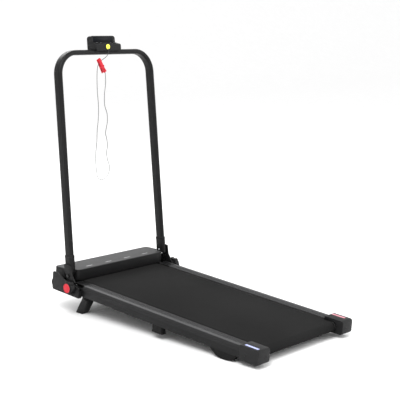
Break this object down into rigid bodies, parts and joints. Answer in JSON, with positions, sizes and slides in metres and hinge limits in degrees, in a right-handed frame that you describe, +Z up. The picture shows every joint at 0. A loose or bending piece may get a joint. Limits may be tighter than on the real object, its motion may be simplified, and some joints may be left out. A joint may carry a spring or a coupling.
{
  "type": "folding treadmill",
  "caption": "Compact folding motorised treadmill with a U-shaped handrail, small console, safety key on a cord and fold-down incline legs.",
  "frame": {"origin": "on the floor under the middle of the machine, at the centre of its bounding box", "axes": "+Z up, +Y forward from the walker towards the motor hood, +X to the walker's right"},
  "size_m": [0.6546, 1.1604, 1.1511],
  "materials": {
    "frame_paint": "satin black powder coat",
    "rail_silver": "metallic grey, satin",
    "belt_rubber": "fine woven matte texture",
    "foot_rubber": "matte",
    "dark_plastic": "fine-grained matte",
    "bright_steel": "zinc plated",
    "deck_wood": "dark waxed fibreboard",
    "red_plastic": "semi-gloss",
    "yellow_plastic": "semi-gloss",
    "screen": "smoked and glossy",
    "cord": "thin braided cord"
  },
  "bodies": {
    "frame": {"side_tube_left": "frame_paint", "side_tube_right": "frame_paint", "rear_cross_tube": "frame_paint", "middle_cross_tube": "frame_paint", "front_cross_tube": "frame_paint", "deck_board": "deck_wood", "running_belt": "belt_rubber", "foot_rail_left": "rail_silver", "foot_rail_right": "rail_silver", "rear_end_cap_left": "dark_plastic", "rear_end_cap_right": "dark_plastic", "rear_foot_left": "foot_rubber", "rear_foot_right": "foot_rubber", "middle_foot_left": "foot_rubber", "middle_foot_right": "foot_rubber", "front_roller_axle": "bright_steel", "rear_roller_axle": "bright_steel", "motor": "frame_paint", "drive_belt": "belt_rubber", "motor_plate": "frame_paint", "speed_controller": "dark_plastic", "hood_shell": "dark_plastic", "hood_top": "rail_silver", "belly_pan": "dark_plastic", "power_inlet": "dark_plastic", "side_cover_left": "dark_plastic", "side_cover_right": "dark_plastic", "wheel_bolt_left": "bright_steel", "wheel_bolt_right": "bright_steel", "fold_pivot_bolt_left": "bright_steel", "fold_pivot_bolt_right": "bright_steel"},
    "front_roller": {"front_roller": "bright_steel"},
    "rear_roller": {"rear_roller": "bright_steel"},
    "motor_pulley": {"motor_pulley": "bright_steel"},
    "transport_wheel_left": {"transport_wheel_left": "foot_rubber"},
    "transport_wheel_right": {"transport_wheel_right": "foot_rubber"},
    "incline_stand": {"incline_leg_left": "frame_paint", "incline_leg_right": "frame_paint", "incline_leg_tube": "frame_paint"},
    "lock_knob_left": {"lock_knob_left": "dark_plastic", "lock_knob_cap_left": "red_plastic"},
    "lock_knob_right": {"lock_knob_right": "dark_plastic", "lock_knob_cap_right": "red_plastic"},
    "power_switch": {"power_switch": "red_plastic"},
    "handrail": {"handrail_tube": "frame_paint", "post_socket_left": "frame_paint", "post_socket_right": "frame_paint", "console_front": "dark_plastic", "console_back": "dark_plastic", "display_window": "screen"},
    "stop_button": {"stop_button": "dark_plastic"},
    "start_button": {"start_button": "dark_plastic"},
    "slower_button": {"slower_button": "dark_plastic"},
    "faster_button": {"faster_button": "dark_plastic"},
    "safety_key": {"safety_key": "yellow_plastic", "key_cord": "cord", "safety_clip": "red_plastic"},
    "clip_jaw": {"clip_jaw": "red_plastic"}
  },
  "joints": [
    {"name": "handrail_fold", "type": "hinge", "parent": "frame", "child": "handrail", "pos_m": [0, 0.45536, 0.15967], "axis": [1, 0, 0], "range_deg": [0, 94]},
    {"name": "incline_stand_fold", "type": "hinge", "parent": "frame", "child": "incline_stand", "pos_m": [0, 0.37828, 0.07208], "axis": [-1, 0, 0], "range_deg": [0, 114]},
    {"name": "front_roller_spin", "type": "hinge", "parent": "frame", "child": "front_roller", "pos_m": [0, 0.46363, 0.11313], "axis": [1, 0, 0], "continuous": true},
    {"name": "rear_roller_spin", "type": "hinge", "parent": "frame", "child": "rear_roller", "pos_m": [0, -0.52895, 0.04373], "axis": [1, 0, 0], "continuous": true},
    {"name": "motor_pulley_spin", "type": "hinge", "parent": "frame", "child": "motor_pulley", "pos_m": [0, 0.5213, 0.13421], "axis": [1, 0, 0], "continuous": true},
    {"name": "left_wheel_roll", "type": "hinge", "parent": "frame", "child": "transport_wheel_left", "pos_m": [-0.2785, 0.54471, 0.11479], "axis": [1, 0, 0], "continuous": true},
    {"name": "right_wheel_roll", "type": "hinge", "parent": "frame", "child": "transport_wheel_right", "pos_m": [0.2785, 0.54471, 0.11479], "axis": [1, 0, 0], "continuous": true},
    {"name": "left_lock_knob_turn", "type": "hinge", "parent": "frame", "child": "lock_knob_left", "pos_m": [-0.312, 0.42409, 0.11939], "axis": [1, 0, 0], "continuous": true},
    {"name": "right_lock_knob_turn", "type": "hinge", "parent": "frame", "child": "lock_knob_right", "pos_m": [0.312, 0.42409, 0.11939], "axis": [1, 0, 0], "continuous": true},
    {"name": "power_switch_rock", "type": "hinge", "parent": "frame", "child": "power_switch", "pos_m": [0.197, 0.56683, 0.11734], "axis": [1, 0, 0], "range_deg": [-6, 6]},
    {"name": "stop_button_press", "type": "slide", "parent": "handrail", "child": "stop_button", "axis": [0, 0.1824, -0.9832], "range_m": [0, 0.0012], "stiffness_N_per_m": 400, "springref_m": -0.0005},
    {"name": "start_button_press", "type": "slide", "parent": "handrail", "child": "start_button", "axis": [0, 0.1824, -0.9832], "range_m": [0, 0.0012], "stiffness_N_per_m": 400, "springref_m": -0.0005},
    {"name": "slower_button_press", "type": "slide", "parent": "handrail", "child": "slower_button", "axis": [0, 0.1824, -0.9832], "range_m": [0, 0.0012], "stiffness_N_per_m": 400, "springref_m": -0.0005},
    {"name": "faster_button_press", "type": "slide", "parent": "handrail", "child": "faster_button", "axis": [0, 0.1824, -0.9832], "range_m": [0, 0.0012], "stiffness_N_per_m": 400, "springref_m": -0.0005},
    {"name": "safety_key_pull", "type": "slide", "parent": "handrail", "child": "safety_key", "axis": [0, -0.9959, 0.0906], "range_m": [0, 0.014]},
    {"name": "clip_jaw_open", "type": "hinge", "parent": "safety_key", "child": "clip_jaw", "pos_m": [-0.04241, 0.5138, 1.02309], "axis": [0.8854, 0, 0.4648], "range_deg": [0, 10], "stiffness_Nm_per_rad": 0.05, "springref_deg": -5.73}
  ],
  "couplings": [
    {"joint": "rear_roller_spin", "follows": "front_roller_spin", "ratio": 1},
    {"joint": "motor_pulley_spin", "follows": "front_roller_spin", "ratio": 1.7605}
  ]
}
